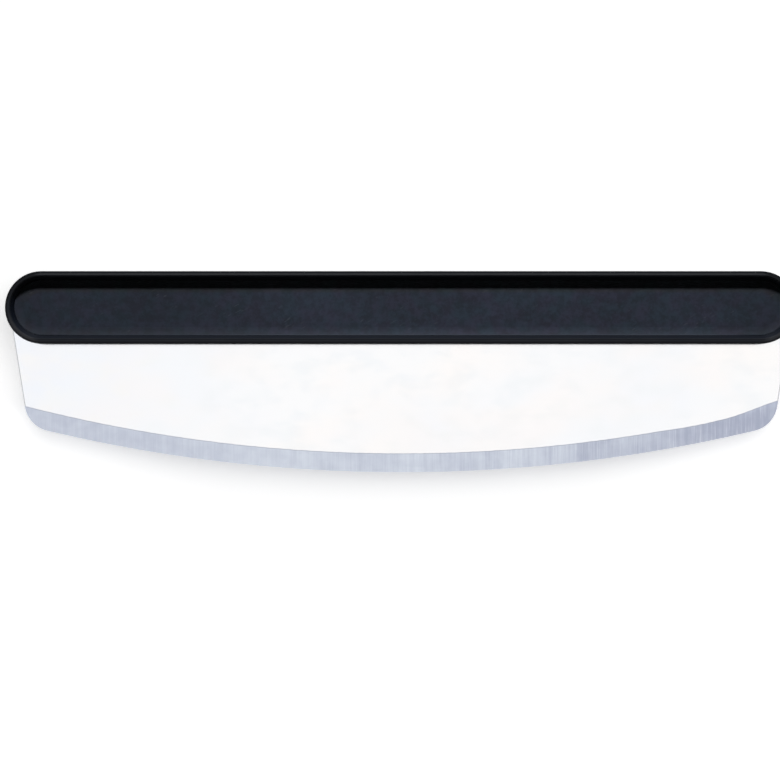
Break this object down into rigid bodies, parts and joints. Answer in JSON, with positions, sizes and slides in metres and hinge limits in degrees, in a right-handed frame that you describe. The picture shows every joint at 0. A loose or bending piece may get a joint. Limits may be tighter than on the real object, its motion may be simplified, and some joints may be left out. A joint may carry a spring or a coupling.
{
  "type": "rocking pizza knife",
  "caption": "Rocking pizza knife: a wide curved steel blade clamped along a long round-ended handle with a dished grip panel in each face.",
  "frame": {"origin": "middle of the overall outline, on the surface that the knife lies on", "axes": "+X along the handle, +Y from the cutting edge to the spine of the handle, +Z out of the front face; the knife lies flat on its rear face, as in the picture"},
  "size_m": [0.36, 0.0918, 0.02],
  "materials": {
    "blade_steel": "satin",
    "handle_nylon": "satin",
    "grip_inlay": "matte",
    "fastener_steel": "satin",
    "insert_brass": "satin"
  },
  "bodies": {
    "root": {"blade": "blade_steel", "front_shell": "handle_nylon", "rear_shell": "handle_nylon", "front_inlay": "grip_inlay", "rear_inlay": "grip_inlay", "clamp_screws": "fastener_steel", "screw_washers": "fastener_steel", "threaded_inserts": "insert_brass", "left_dowel": "fastener_steel", "right_dowel": "fastener_steel"}
  },
  "joints": []
}
